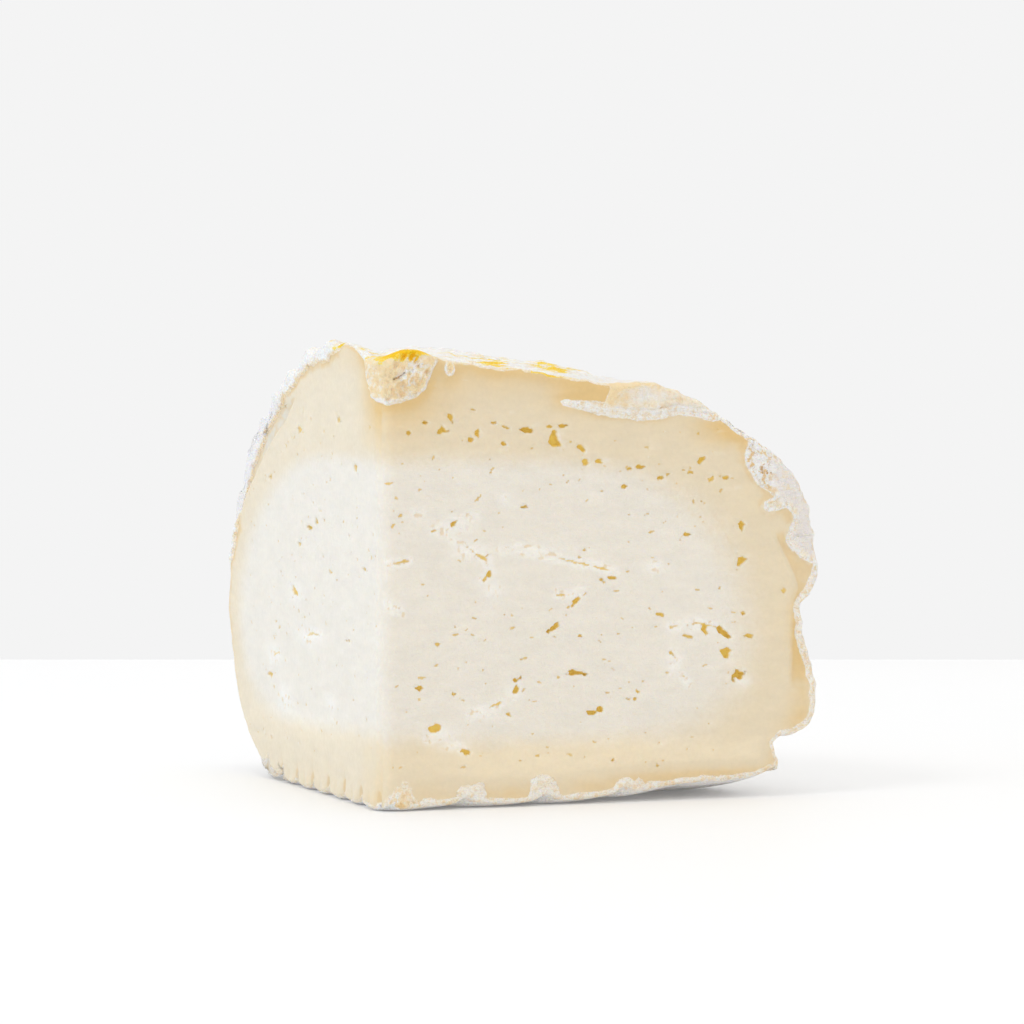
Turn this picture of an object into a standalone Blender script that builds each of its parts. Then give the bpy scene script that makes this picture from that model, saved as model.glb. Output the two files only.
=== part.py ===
"""A quarter wedge cut from a tall, soft-ripened cheese wheel with a bloomy rind.

The wheel's axis is +Z, and the wedge stands on its base at z = 0. The two cut faces
are vertical planes that meet in a softly rounded edge on the wheel's axis: one faces
-Y and the other faces -X. The origin is the centre of the bottom of the wedge's box.
"""

from math import pi

import bmesh
import bpy
import numpy as np
from mathutils import Matrix, Vector

MM = 0.001

# Outer section of the wheel as (radius, height) in mm, from the rim of the flat base,
# round the side and over the shoulder to the middle of the top. The first section is
# the one on the cut face that faces -Y: it has a foot, a step where the side hangs over
# the foot, and a hollow at half height. The second is a quarter turn on, and is rounder.
FOOTED_SECTION = [
    (84, 0), (94, 1.5), (97, 7), (95.5, 12), (103, 14), (106.3, 20.5), (104, 33), (103, 43),
    (106.5, 54), (105, 66), (99.5, 75.5), (87.5, 84.5), (73, 92), (54, 96.5), (28, 100.5), (0, 102),
]
ROUND_SECTION = [
    (68, 0), (82, 2.5), (91.5, 7), (99, 12.5), (104.5, 18.5), (109, 27), (111, 37), (110.5, 47),
    (108, 59.5), (101.5, 72), (90, 82.5), (76, 91), (60, 98), (42, 102.5), (22, 103.8), (0, 102),
]
STEPS_BETWEEN_POINTS = 4
SEGMENTS_ROUND_WHEEL = 112

# Slow waves that keep the ripened side from being a true turned shape.
SIDE_WAVE = 0.9
WAVES_ROUND_WHEEL = 9
WAVE_TWIST = 2.4

# The knife leaves two faces a quarter turn apart, and the edge between them softens.
KNIFE_BLOCK = 160
KNIFE_OVERHANG = 20
APEX_ROUNDING = 3.0
APEX_ROUNDING_STEPS = 4

PASTE_COLOUR = (0.80, 0.74, 0.62, 1.0)
PASTE_ROUGHNESS = 0.5


def clear_scene():
    for obj in list(bpy.data.objects):
        bpy.data.objects.remove(obj)


def new_collection(name):
    collection = bpy.data.collections.new(name)
    bpy.context.scene.collection.children.link(collection)
    return collection


def smooth_line(points):
    """The points' own smooth line, as an array of (radius, height) in metres."""
    curve = bpy.data.curves.new("section_line", "CURVE")
    curve.resolution_u = STEPS_BETWEEN_POINTS
    spline = curve.splines.new("BEZIER")
    spline.bezier_points.add(len(points) - 1)
    for knot, (radius, height) in zip(spline.bezier_points, points):
        knot.co = Vector((radius * MM, height * MM, 0))
        knot.handle_left_type = "AUTO"
        knot.handle_right_type = "AUTO"
    guide = bpy.data.objects.new("section_line", curve)
    bpy.context.scene.collection.objects.link(guide)
    mesh = guide.to_mesh()
    line = np.array([vertex.co[:2] for vertex in mesh.vertices])
    guide.to_mesh_clear()
    bpy.data.objects.remove(guide)
    return line


def wheel_rings():
    """Rings of points round the axis, one for each point of the section but the last.

    At each angle the section is a mix of the two: the footed one at 0 and 180 degrees,
    the round one at 90 and 270. A slow twisted wave then moves the side in and out. It
    fades to nothing at the base and at the middle of the top. The points stand half a
    step off the knife's two planes, so that each cut crosses the faces cleanly.
    """
    footed = smooth_line(FOOTED_SECTION)[:-1]
    rounded = smooth_line(ROUND_SECTION)[:-1]
    angle = (np.arange(SEGMENTS_ROUND_WHEEL) + 0.5) * 2 * pi / SEGMENTS_ROUND_WHEEL
    along = np.linspace(0, 1, len(footed))[:, None]
    share = np.sin(angle)[None, :] ** 2
    radius = footed[:, :1] * (1 - share) + rounded[:, :1] * share
    height = footed[:, 1:] * (1 - share) + rounded[:, 1:] * share
    wave = np.sin(WAVES_ROUND_WHEEL * angle + WAVE_TWIST * 2 * pi * along)
    radius = radius + SIDE_WAVE * MM * wave * np.sin(pi * along)
    return np.stack([radius * np.cos(angle), radius * np.sin(angle), height], axis=2)


def wheel_mesh():
    """A loft through the rings, closed by one flat face below and a fan of faces above."""
    rings = wheel_rings()
    ring_count, around = rings.shape[:2]
    top_middle = (0, 0, ROUND_SECTION[-1][1] * MM)
    index = np.arange(ring_count * around).reshape(ring_count, around)
    onward = np.roll(index, -1, axis=1)
    quads = np.stack([index[:-1], onward[:-1], onward[1:], index[1:]], axis=2).reshape(-1, 4)
    apex = ring_count * around
    fan = [(int(a), int(b), apex) for a, b in zip(index[-1], onward[-1])]
    base = tuple(int(i) for i in index[0][::-1])
    mesh = bpy.data.meshes.new("cheese_wedge")
    mesh.from_pydata([*rings.reshape(-1, 3).tolist(), top_middle], [], [*quads.tolist(), *fan, base])
    return mesh


def knife_block():
    """The space between the two knife cuts: a block with one upright edge rounded."""
    frame = bmesh.new()
    middle = Vector((KNIFE_BLOCK / 2, KNIFE_BLOCK / 2, KNIFE_BLOCK / 2 - KNIFE_OVERHANG))
    placing = Matrix.Translation(middle) @ Matrix.Scale(KNIFE_BLOCK, 4)
    bmesh.ops.create_cube(frame, size=1, matrix=Matrix.Scale(MM, 4) @ placing)
    apex = [edge for edge in frame.edges if all(abs(v.co.x) + abs(v.co.y) < MM for v in edge.verts)]
    bmesh.ops.bevel(
        frame,
        geom=apex,
        offset=APEX_ROUNDING * MM,
        segments=APEX_ROUNDING_STEPS,
        profile=0.5,
        affect="EDGES",
    )
    mesh = bpy.data.meshes.new("knife_block")
    frame.to_mesh(mesh)
    frame.free()
    return mesh


def add_object(name, mesh, collection):
    obj = bpy.data.objects.new(name, mesh)
    collection.objects.link(obj)
    return obj


def paste_material():
    material = bpy.data.materials.new("ripened_paste")
    material.use_nodes = True
    shader = material.node_tree.nodes["Principled BSDF"]
    shader.inputs["Base Color"].default_value = PASTE_COLOUR
    shader.inputs["Roughness"].default_value = PASTE_ROUGHNESS
    shader.inputs["Metallic"].default_value = 0.0
    return material


def cut(wheel, knife):
    boolean = wheel.modifiers.new("knife cuts", "BOOLEAN")
    boolean.operation = "INTERSECT"
    boolean.solver = "EXACT"
    boolean.object = knife


def put_origin_at_bottom_middle(wheel, knife):
    bpy.context.view_layer.update()
    graph = bpy.context.evaluated_depsgraph_get()
    corners = np.array([corner[:] for corner in wheel.evaluated_get(graph).bound_box])
    middle = (corners.min(axis=0) + corners.max(axis=0)) / 2
    for obj in (wheel, knife):
        obj.location = (-middle[0], -middle[1], 0)


def main():
    clear_scene()
    parts = new_collection("cheese wedge")
    cutters = new_collection("cutters")
    wheel = add_object("cheese_wedge", wheel_mesh(), parts)
    wheel.data.materials.append(paste_material())
    wheel.data.shade_smooth()
    wheel.data.set_sharp_from_angle(angle=pi / 5)
    knife = add_object("knife_block", knife_block(), cutters)
    knife.hide_render = True
    knife.display_type = "WIRE"
    cut(wheel, knife)
    put_origin_at_bottom_middle(wheel, knife)


main()
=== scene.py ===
"""The looks of a quarter wedge cut from a tall, soft-ripened cheese wheel.

Lengths in the formulas are millimetres from the foot of the wheel's axis: x runs along
the front cut face, y along the side cut face, and z up. The wedge is one closed skin of
three sheets, whose edges share their points: the rind, the front face and the side face.
"""

from itertools import product
from math import cos, pi, radians, sin

import bpy
import numpy as np
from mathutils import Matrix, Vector


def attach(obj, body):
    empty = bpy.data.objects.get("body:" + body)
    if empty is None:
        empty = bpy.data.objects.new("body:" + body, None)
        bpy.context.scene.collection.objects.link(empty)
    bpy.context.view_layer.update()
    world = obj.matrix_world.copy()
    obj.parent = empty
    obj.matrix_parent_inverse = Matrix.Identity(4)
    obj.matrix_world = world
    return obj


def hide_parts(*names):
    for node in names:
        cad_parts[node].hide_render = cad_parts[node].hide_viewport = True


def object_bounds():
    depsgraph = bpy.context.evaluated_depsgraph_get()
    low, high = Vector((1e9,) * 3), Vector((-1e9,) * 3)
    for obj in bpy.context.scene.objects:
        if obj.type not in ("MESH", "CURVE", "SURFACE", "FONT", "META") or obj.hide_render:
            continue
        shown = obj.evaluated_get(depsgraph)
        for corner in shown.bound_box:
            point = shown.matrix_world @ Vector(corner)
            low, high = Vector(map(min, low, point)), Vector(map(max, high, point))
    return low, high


bl_info = {
    "name": "Ripened Cheese Wedge",
    "version": (1, 0, 0),
    "blender": (4, 5, 0),
    "location": "View3D > Sidebar > Cheese",
    "description": "Builds a cut wedge of soft-ripened cheese and a pale stage for it",
    "category": "Add Mesh",
}

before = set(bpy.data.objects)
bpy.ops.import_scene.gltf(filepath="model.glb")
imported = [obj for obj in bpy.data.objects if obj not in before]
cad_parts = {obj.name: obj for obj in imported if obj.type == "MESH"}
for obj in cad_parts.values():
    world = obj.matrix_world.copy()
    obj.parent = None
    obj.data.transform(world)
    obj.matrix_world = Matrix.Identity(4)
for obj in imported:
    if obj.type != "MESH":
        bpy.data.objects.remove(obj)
CAD_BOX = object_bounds()
NODE = "cheese_wedge"
MM = 0.001

# ---------------------------------------------------------------- outlines of the wheel

# The wheel's section, as (radius, height), from the axis along the base, up the side and
# back over the top to the axis. The base ends at BASE_KNOT and the side at SHOULDER_KNOT.
FRONT_SECTION = [
    (0, 0), (45, 0), (84, 0), (93.5, 1.6),
    (96.6, 4.4), (96.9, 7), (95.9, 10.4), (95.4, 12.4), (97.5, 13.7), (101, 14.6), (104.2, 16.6),
    (105.9, 20.5), (106, 25), (104.8, 30), (103.6, 35), (102.8, 40), (102.4, 43.6), (104.4, 46),
    (106.2, 50), (106.4, 55), (105.6, 61), (103.8, 68), (99.8, 75), (94, 79.6),
    (87.5, 83.6), (81, 87.4), (74, 92), (66, 95), (56, 96.2), (42, 99.2), (27, 101.2), (13, 101.4), (0, 100.6),
]
SIDE_SECTION = [
    (0, 0), (35, 0), (68, 0.4), (82, 2.6),
    (90, 5.2), (95, 8), (99, 11.2), (102.4, 14.6), (105, 18.2), (107.2, 22), (109, 26),
    (110.4, 30), (112, 34), (113.2, 38), (112.6, 42), (111.8, 46), (111.2, 50), (110.2, 54),
    (109.2, 58), (107.8, 62), (105.6, 66), (102.8, 70), (99.4, 74), (96, 77.6),
    (92, 81), (87, 84.8), (80, 89), (72, 92.8), (63, 96.6), (52, 100.8), (38, 103.2), (20, 103.2), (0, 100.6),
]
BASE_KNOT = 3
SHOULDER_KNOT = 24


class Grid:
    """How many steps each stretch of the skin has."""

    base = 290
    side = 300
    round = 220


MOST_TRIANGLES = 196000

# Cells of the noise's lattice each way, before it repeats, the samples along a smooth
# line for each of its points, and how many points are measured against a rim at once.
LATTICE = 32
SAMPLES_PER_POINT = 60
POINTS_AT_ONCE = 8192


def ease(value, low, high):
    """0 below low, 1 above high, and 3t^2 - 2t^3 between them."""
    t = np.clip((value - low) / (high - low), 0, 1)
    return t * t * (3 - 2 * t)


def hill(value, middle, width):
    """A bell: e to the minus ((value - middle) / width) squared."""
    return np.exp(-(((value - middle) / width) ** 2))


def softened(values, times):
    """The values after each has been mixed, so many times, with its four neighbours."""
    for _ in range(times):
        wide = np.pad(values, 1, mode="edge")
        around = wide[:-2, 1:-1] + wide[2:, 1:-1] + wide[1:-1, :-2] + wide[1:-1, 2:]
        values = (4 * values + around) / 8
    return values


def hollows(depth):
    """How much deeper a grid lies than its neighbourhood, in mm."""
    return depth - softened(depth, 30)


def value_noise(points, size, seed):
    """A smooth random field from -1 to 1 whose bumps are about size mm across.

    Each corner of a cubic grid of that size has a seeded random value, and a point takes
    the mix of its eight corners' values, weighted by 3t^2 - 2t^3 along each axis.
    """
    lattice = np.random.default_rng(seed).uniform(-1, 1, [LATTICE] * 3)
    place = points / size + 100.5
    cell = np.floor(place).astype(np.int64)
    part = place - cell
    part = part * part * (3 - 2 * part)
    total = np.zeros(points.shape[:-1])
    for corner in product((0, 1), repeat=3):
        index = (cell + corner) % LATTICE
        weight = np.prod(np.where(corner, part, 1 - part), axis=-1)
        total += lattice[tuple(np.moveaxis(index, -1, 0))] * weight
    return total


def layered_noise(points, size, seed, layers=3):
    """A sum of value noises, each half as wide and half as high as the one before."""
    total = np.zeros(points.shape[:-1])
    for layer in range(layers):
        total += value_noise(points, size / 2**layer, seed + layer) / 2**layer
    return total / (2 - 2.0 ** (1 - layers))


def smooth_line(points, stops, counts):
    """A smooth line through the points, cut at the stops into stretches of even steps.

    Each span is a cubic. Its end slopes are those of the parabola through the knot and
    its neighbours, against the square root of chord length.
    """
    points = np.asarray(points, float)
    chords = np.sqrt(np.linalg.norm(np.diff(points, axis=0), axis=1))
    knots = np.concatenate([[0], np.cumsum(chords)])
    slopes = np.gradient(points, knots, axis=0)
    fine = np.linspace(0, knots[-1], SAMPLES_PER_POINT * len(points))
    span = np.clip(np.searchsorted(knots, fine, side="right") - 1, 0, len(points) - 2)
    width = chords[span][:, None]
    t = (fine - knots[span])[:, None] / width
    line = (
        (2 * t**3 - 3 * t**2 + 1) * points[span]
        + (t**3 - 2 * t**2 + t) * width * slopes[span]
        + (3 * t**2 - 2 * t**3) * points[span + 1]
        + (t**3 - t**2) * width * slopes[span + 1]
    )
    run = np.concatenate([[0], np.cumsum(np.linalg.norm(np.diff(line, axis=0), axis=1))])
    ends = np.interp(knots[[0, *stops, len(points) - 1]], fine, run)
    steps = [np.linspace(a, b, n, endpoint=False) for a, b, n in zip(ends, ends[1:], counts)]
    even = np.concatenate([*steps, ends[-1:]])
    return np.stack([np.interp(even, run, line[:, k]) for k in range(points.shape[1])], axis=1)


def line_distance(x, z, path):
    """Distance to a line of straight pieces, each point taking its nearest piece."""
    nearest = np.full(x.shape, 1e9)
    for (ax, az), (bx, bz) in zip(path, path[1:]):
        dx, dz = bx - ax, bz - az
        t = np.clip(((x - ax) * dx + (z - az) * dz) / (dx * dx + dz * dz), 0, 1)
        nearest = np.minimum(nearest, (x - ax - t * dx) ** 2 + (z - az - t * dz) ** 2)
    return np.sqrt(nearest)


def area_distance(x, z, path):
    """Distance to the edge of the closed path: positive inside it and negative outside.

    A point is inside where a level ray from it crosses the path an odd number of times.
    """
    inside = np.zeros(x.shape, bool)
    closed = [*path, path[0]]
    for (ax, az), (bx, bz) in zip(closed, closed[1:]):
        crosses = (az > z) != (bz > z)
        with np.errstate(divide="ignore", invalid="ignore"):
            at = ax + (z - az) * (bx - ax) / (bz - az)
        inside ^= crosses & (x < at)
    distance = line_distance(x, z, closed)
    return np.where(inside, distance, -distance)


def outline_distance(x, z, outline):
    """Distance to the nearest point of the outline, and that point's place in it."""
    points = np.stack([x.ravel(), z.ravel()], axis=1).astype(np.float32)
    outline = outline.astype(np.float32)
    best = np.empty(len(points), np.int64)
    for start in range(0, len(points), POINTS_AT_ONCE):
        block = points[start : start + POINTS_AT_ONCE, None]
        gap = (block[..., 0] - outline[:, 0]) ** 2 + (block[..., 1] - outline[:, 1]) ** 2
        best[start : start + POINTS_AT_ONCE] = gap.argmin(axis=1)
    gap = np.linalg.norm(points - outline[best], axis=1)
    return gap.reshape(x.shape), best.reshape(x.shape)


# ------------------------------------------------------------------------------- rind

RACK_PITCH = 9.85
RACK_TURN = radians(58.8)
RACK_START = 1.5
LUMP_PITCH = 17

# The top's low swells, as (place, height), across lines that run back from the edge.
SWELL_TURN = radians(21)
TOP_SWELLS = [
    (-16, 0), (-8, -0.8), (-1, -2.2), (5, -0.4), (11, 0), (17, 0), (23, -0.1), (31, -0.2), (36, 0.5),
    (42, 1.3), (47, 1), (54, 0),
]

# Folds of rind that the wires pressed into the front face's foot: how far from the axis,
# half width and extra height. The side face has hardly any rind left along its foot.
FRONT_FOLDS = [
    (20.6, 1.7, 1.8), (22.6, 2.1, 4.0), (38.2, 2.6, 3.9), (40.8, 1.6, 1.5), (59.4, 3.2, 1.1), (61.6, 1.8, 1.9),
    (65.4, 2.2, 0.7), (11.5, 2, 0.9), (49, 3, 0.5),
]
SIDE_FOLDS = [(6.5, 3.0, 2.4), (9.5, 1.4, 2.0), (17.5, 2.0, 1.2), (58, 1.5, 0.6)]
ROLLED_CORNER_HEIGHT = 66
ROLLED_CORNER_SPREAD = 12
ROLLED_CORNER_BULGE = 0.384


def rack_gap(x, y):
    """Distance along the base from the nearest wire of the rack it ripened on."""
    across = x * cos(RACK_TURN) + y * sin(RACK_TURN) - RACK_START
    return np.abs((across / RACK_PITCH + 0.5) % 1 - 0.5) * RACK_PITCH


def rim_setback(section, sizes):
    """How far the rind's edge stands back from each cut plane, fading out at the axis.

    On the front it adds a bell round the height of the corner that was rolled back.
    """
    radius, height = section[:, 0], section[:, 1]
    fade = ease(radius, 0, 9)
    rounding = sizes.rim_rounding / MM
    rolled = sizes.rolled_corner / MM * hill(height, ROLLED_CORNER_HEIGHT, ROLLED_CORNER_SPREAD)
    rolled = rolled * ease(radius, 80, 98) * ease(height, 50, 58)
    return rounding * fade + rolled, rounding * fade


def rind_normals(grid):
    """Unit normals of the grid: the cross product of its two central differences."""
    normal = np.cross(np.gradient(grid, axis=0), np.gradient(grid, axis=1))
    length = np.linalg.norm(normal, axis=2, keepdims=True)
    flat = np.where(grid[..., 2:] > 50, 1.0, -1.0) * np.array([0.0, 0.0, 1.0])
    return np.where(length > 1e-9, normal / np.maximum(length, 1e-9), flat)


def rind_sheet(sizes):
    """The rind: the wheel's section, turned a quarter round the axis, then wrinkled.

    At angle a the section is front * cos^2 a + side * sin^2 a. Lumps, creases and beads
    of mould move it along its own normal, and the rack's wires press grooves into it.
    """
    counts = (Grid.base, Grid.side, Grid.base)
    stops = [BASE_KNOT, SHOULDER_KNOT]
    front = smooth_line(FRONT_SECTION, stops, counts)
    side = smooth_line(SIDE_SECTION, stops, counts)
    angle = np.linspace(0, pi / 2, Grid.round + 1)[:, None]
    share = np.sin(angle) ** 2
    radius = front[None, :, 0] * (1 - share) + side[None, :, 0] * share
    height = front[None, :, 1] * (1 - share) + side[None, :, 1] * share
    setback_front, setback_side = rim_setback(front, sizes)[0], rim_setback(side, sizes)[1]
    turned = np.sin(angle)
    rolled = (setback_front - sizes.rim_rounding / MM) * (front[:, 0] > 60)
    radius = radius + ROLLED_CORNER_BULGE * rolled[None, :] * np.cos(angle) ** 2
    x = radius * np.cos(angle) + setback_side[None, :] * turned
    y = radius * np.sin(angle) + setback_front[None, :] * (1 - turned)
    grid = np.stack([x, y, height], axis=2)
    grid, hollow = wrinkled(grid, radius, sizes)
    grid[0, :, 1], grid[-1, :, 0] = setback_front, setback_side
    grid[:, 0] = grid[:, 0].mean(axis=0) * (0, 0, 1)
    grid[:, -1] = grid[:, -1].mean(axis=0) * (0, 0, 1)
    return grid, hollow


def lump_wave(radius, height):
    """The lumps of the side's upper rind: a leaning sine of radius - 0.8 height."""
    turn = (radius - 0.8 * height) * 2 * pi / LUMP_PITCH
    return np.sin(turn + 0.6 * np.sin(turn))


def wrinkled(grid, radius, sizes):
    """Moves the rind along its normals, and sinks the base's rack marks and cut edges."""
    x, y, z = grid[..., 0], grid[..., 1], grid[..., 2]
    normal = rind_normals(grid)
    free = ease(z, 0.5, 6) * ease(radius, 4, 30)
    lumps = layered_noise(grid, 11, 11)
    folded = np.abs(layered_noise(grid * (1, 1, 1.5), 6.5, 21))
    wormy = np.abs(layered_noise(grid * (1, 1, 1.7), 5.0, 41, 3))
    inner = ease(np.minimum(x, y), 1, 7)
    creases = (0.35 - folded) * (1 - inner) + (1.7 * wormy - 0.5) * inner
    beads = layered_noise(grid, 1.7, 31, 2)
    push = sizes.lumps / MM * lumps + sizes.creases / MM * creases + 0.2 * beads
    side_lumps = hill(x, 0, 16) * ease(z, 44, 56) * ease(radius, 24, 36)
    push += side_lumps * 1.2 * lump_wave(radius, z)
    grid = grid + normal * (push * free)[..., None]
    # How far the rind sinks below its neighbourhood: the material paints shade into it.
    hollow = hollows(-push * free)
    under = 1 - ease(z, 1.5, 7)
    gap = rack_gap(x, y)
    groove = sizes.rack_marks / MM * (hill(gap, 0, 0.9) + 0.48 * hill(gap, 0, 2.6))
    groove *= (1 - 0.85 * ease(x, 64, 72) * hill(y, 0, 10)) * (1 + 0.7 * hill(x, 0, 9) * ease(y, 4, 10))
    lifted = 2.4 * ease(x, 56, 74) * hill(y, 0, 12) + 0.9 * ease(x, 40, 60) * hill(y, 0, 14)
    bevel = np.maximum(0.8 * hill(y, 0, 2.2), 0.2 * hill(x, 0, 2.2)) * ease(radius, 4, 12)
    grid[..., 2] += under * (groove + lifted + bevel)
    top = ease(z, 84, 92)
    across = x * cos(SWELL_TURN) - y * sin(SWELL_TURN)
    swell = np.interp(across, *np.transpose(TOP_SWELLS))
    inland = ease(y, 1, 7) * ease(x, 0.5, 4) * ease(radius, 3, 14) * (1 - ease(radius, 62, 84))
    grid[..., 2] += top * swell * inland
    dip = 2.9 * hill(x, 38, 19) + 1.0 * hill(x, 16, 10)
    grid[..., 2] -= top * dip * hill(y, 0, 6.5) * ease(radius, 2, 12)
    grid[..., 2] += top * (2.0 * patch(x, y, 7.5, 0, 6.5, 6) - 1.6 * patch(x, y, -1, 3, 5, 7))
    grid[..., 2] = np.maximum(grid[..., 2], 0.0)
    return grid, hollow


# -------------------------------------------------------------------------- cut faces

# Holes in the front face: middle x, middle z, half width, half height, turn in degrees
# and depth.
FRONT_HOLES = [
    (41.6, 82.0, 1.2, 1.9, 22, 1.4), (43.2, 85.2, 0.9, 0.45, 5, 0.9), (34.4, 84.4, 1.3, 0.7, -5, 1.5),
    (14.7, 84.6, 0.75, 1.0, 0, 1.0), (16.7, 87.3, 0.45, 1.0, 15, 0.8), (10.6, 86.2, 0.8, 0.4, -5, 0.9),
    (6.9, 83.9, 0.4, 0.6, 10, 0.8), (23, 84, 0.5, 0.7, 0, 0.9), (21.4, 82.4, 0.6, 0.6, 0, 0.8),
    (26.8, 86.1, 0.8, 0.35, -8, 0.7), (29.2, 81.4, 0.7, 0.5, -10, 0.8), (47.8, 80.3, 1.3, 0.6, -38, 0.9),
    (52, 77.3, 0.9, 0.55, 0, 0.7), (48.8, 76.8, 0.7, 0.8, 30, 0.7), (62.2, 75.8, 1.0, 0.4, 0, 0.9),
    (67.4, 73.3, 0.65, 0.5, 0, 0.8), (58.4, 71.5, 0.75, 0.5, -10, 0.8), (77.3, 77.4, 0.9, 0.5, 35, 0.9),
    (83.4, 73.2, 0.75, 0.5, 10, 0.8), (87.1, 62.3, 0.8, 1.0, 0, 1.1), (73.8, 60.4, 1.2, 0.45, 5, 0.9),
    (87.2, 54.2, 0.8, 1.3, -30, 1.1), (83, 37.8, 1.6, 0.7, -38, 1.5), (83.4, 33.4, 1.1, 1.1, 20, 1.2),
    (86.8, 28, 1.1, 1.3, 0, 1.8), (78, 38.8, 0.6, 1.5, 0, 1.0), (74.3, 37.2, 1.3, 0.45, -8, 0.7),
    (67, 42.4, 1.1, 0.4, -10, 0.7), (46.8, 46, 1.1, 0.6, 40, 1.0), (41.2, 40, 1.4, 0.5, 25, 1.2),
    (46.5, 29.7, 1.7, 0.55, -12, 1.6), (32.2, 26.4, 0.6, 1.0, -25, 1.2), (32, 28.4, 0.55, 0.6, 0, 1.0),
    (50.3, 20.7, 1.3, 0.5, -5, 1.1), (52.6, 21.2, 0.7, 0.8, 0, 1.2), (13, 18.2, 1.5, 1.1, 15, 1.0),
    (20.5, 12.7, 0.8, 0.6, -15, 0.9), (8.8, 27.4, 1.1, 0.45, 0, 0.9), (17.2, 63.7, 0.8, 0.6, 25, 0.9),
    (55.5, 51, 0.8, 0.35, 0, 0.8), (34, 67.2, 0.8, 0.3, 0, 0.9), (25.8, 52.4, 0.5, 0.9, -10, 0.9),
    (40.2, 85.1, 0.7, 0.3, -10, 0.7), (30, 84.9, 0.8, 0.3, -20, 0.6), (22, 89, 0.6, 0.3, -15, 0.5),
    (59.8, 75.5, 0.6, 0.4, 10, 0.7), (69.2, 74.1, 0.6, 0.25, 0, 0.5), (74.4, 74.6, 0.6, 0.4, 20, 0.5),
    (79.8, 73, 0.7, 0.45, 30, 0.5), (75.2, 68, 0.3, 0.35, 0, 0.5), (77.2, 67.9, 0.25, 0.35, 0, 0.4),
    (81.8, 48, 0.4, 0.35, 0, 0.5), (97.8, 47, 0.5, 0.7, 10, 0.4), (87.7, 42.2, 0.6, 0.45, 0, 0.7),
    (89.2, 37, 0.8, 0.5, -10, 0.7), (61.6, 25, 0.4, 0.5, 0, 0.6), (61, 23.4, 0.4, 0.5, 0, 0.6),
    (30.3, 21, 0.5, 0.4, 0, 0.6), (17.4, 25.8, 0.5, 0.35, 0, 0.6), (13.4, 37, 0.5, 0.4, 0, 0.5),
    (18, 39, 0.7, 0.3, 10, 0.5), (6, 55.6, 0.6, 0.3, 0, 0.5), (1.6, 72.8, 0.8, 0.3, 0, 0.4),
    (55.6, 9.7, 0.5, 0.4, 0, 0.7), (66.4, 8, 0.4, 0.3, 0, 0.5), (37.4, 11.4, 0.35, 0.25, 0, 0.4),
    (47.6, 38, 0.5, 0.35, 0, 0.6), (52.8, 50.6, 0.5, 0.35, 20, 0.6), (48.6, 57.4, 0.6, 0.3, 0, 0.5),
]
SIDE_HOLES = [
    (16.5, 75.5, 1.0, 0.9, -30, 0.9), (44.5, 62.7, 1.2, 0.8, 0, 1.1), (50, 61.1, 1.6, 0.5, 5, 1.0),
    (10.5, 53.4, 1.2, 0.4, 10, 0.7), (57, 57, 1.6, 0.4, 5, 0.6), (60.5, 45.6, 2.6, 0.9, 15, 0.9),
    (21.5, 36.7, 1.3, 0.4, 0, 0.7), (79.5, 72, 1.3, 0.5, 0, 0.7), (28.6, 86.4, 1.0, 0.6, 0, 0.6),
    (56.7, 83.6, 1.2, 0.7, 0, 0.6), (34.5, 51.6, 1.5, 0.35, 10, 0.6), (80, 25, 1.8, 0.7, 0, 0.7),
]

# Cracks in the curd: the line each one follows, its half width and its depth.
FRONT_CRACKS = [
    ([(17, 59.6), (20, 58.8), (23, 56.6), (25.2, 55.4), (25.8, 52.6), (24.4, 51)], 0.35, 0.7),
    ([(12.4, 62.2), (15.4, 62), (17.4, 64.2), (22.6, 65.4)], 0.22, 0.45),
    ([(28.6, 57.6), (34, 58), (38.6, 56.2), (43, 55.2), (50, 53.9), (56, 52.4)], 0.15, 0.3),
    ([(1.8, 55.2), (4.4, 55.2), (6.6, 55.5)], 0.25, 0.6),
    ([(1.2, 46.2), (3, 44.8), (4.8, 44.2)], 0.22, 0.4),
    ([(69.6, 39.6), (74, 39.9), (76, 40.4), (79.4, 39.6), (82.2, 38.6)], 0.25, 0.5),
    ([(70, 33.4), (71.4, 31.8), (70.6, 29.8)], 0.35, 0.8),
    ([(21, 20.4), (24.6, 22), (28.6, 23.6)], 0.25, 0.45),
    ([(42.2, 47.6), (45, 47.4), (48, 48)], 0.2, 0.4),
    ([(11, 16), (15.6, 16.4), (19.4, 13.4)], 0.4, 0.5),
    ([(72.4, 28.4), (74, 26.8)], 0.2, 0.4),
]
SIDE_CRACKS = [
    ([(41, 36.4), (46, 36.8), (50, 36.4), (54, 35.2)], 0.3, 0.45),
    ([(72, 30.4), (76, 30.2), (79, 28.4)], 0.3, 0.4),
]

# Places where the knife tore the curd: middle x, middle z, half width, half height.
FRONT_TEARS = [
    (66, 53.4, 2.6, 1.6), (76, 39.6, 5, 1.8), (70.6, 31.2, 2, 2.6), (14.6, 16.8, 4.4, 1.8), (17.4, 14.2, 3.4, 1.2),
    (24.4, 21.6, 4, 1.8), (31.6, 25.6, 2, 2), (3.4, 45.2, 2.2, 1.4), (9, 66, 2.4, 1.2), (29.6, 69, 2, 1.6),
    (21.4, 57.4, 4, 2), (16.4, 63, 4.6, 2.2), (87.4, 26.6, 2, 1.4), (26.6, 49, 2.4, 2.6), (36.8, 57.2, 6, 1.6),
]
SIDE_TEARS = [(50, 36, 7, 2), (60, 45.4, 5, 2.2), (76, 30, 5, 2.4), (68, 20, 6, 3), (34, 21.6, 4, 1.4)]

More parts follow.
